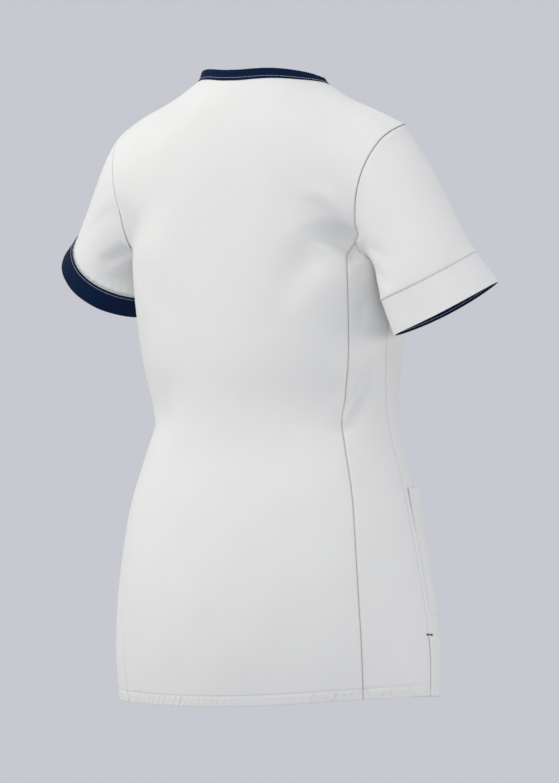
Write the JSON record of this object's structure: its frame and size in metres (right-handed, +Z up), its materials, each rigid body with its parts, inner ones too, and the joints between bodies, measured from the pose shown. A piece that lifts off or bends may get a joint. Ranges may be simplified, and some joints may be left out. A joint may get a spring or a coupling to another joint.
{
  "type": "work tunic",
  "caption": "Short-sleeved white work tunic with princess seams, navy neck band and sleeve facings, patch pockets and side slits, filled out as worn.",
  "frame": {"origin": "midway between the two points where the neck band meets the shoulder seams, where the wearer's shoulders hold the tunic up", "axes": "+Z up, the front faces -Y, the wearer's left is +X"},
  "size_m": [0.6042, 0.266, 0.7682],
  "materials": {
    "back_centre": "white cotton blend, the back between the princess seams",
    "back_side_left": "white cotton blend",
    "back_side_right": "white cotton blend",
    "cuff_facing_left": "navy cotton blend, turned up to the outside",
    "cuff_facing_right": "navy cotton blend, inside the cuff",
    "cuff_left": "white cotton blend, folded up inside its navy facing",
    "cuff_right": "white cotton blend",
    "front_centre": "white cotton blend, the front between the princess seams",
    "front_side_left": "white cotton blend",
    "front_side_right": "white cotton blend",
    "neck_band": "navy cotton blend",
    "pocket_left": "white cotton blend",
    "pocket_right": "white cotton blend",
    "sleeve_left": "white cotton blend",
    "sleeve_right": "white cotton blend"
  },
  "bodies": {
    "root": {"back_centre": "back_centre", "back_side_left": "back_side_left", "back_side_right": "back_side_right", "cuff_facing_left": "cuff_facing_left", "cuff_facing_right": "cuff_facing_right", "cuff_left": "cuff_left", "cuff_right": "cuff_right", "front_centre": "front_centre", "front_side_left": "front_side_left", "front_side_right": "front_side_right", "neck_band": "neck_band", "pocket_left": "pocket_left", "pocket_right": "pocket_right", "sleeve_left": "sleeve_left", "sleeve_right": "sleeve_right"}
  },
  "joints": []
}
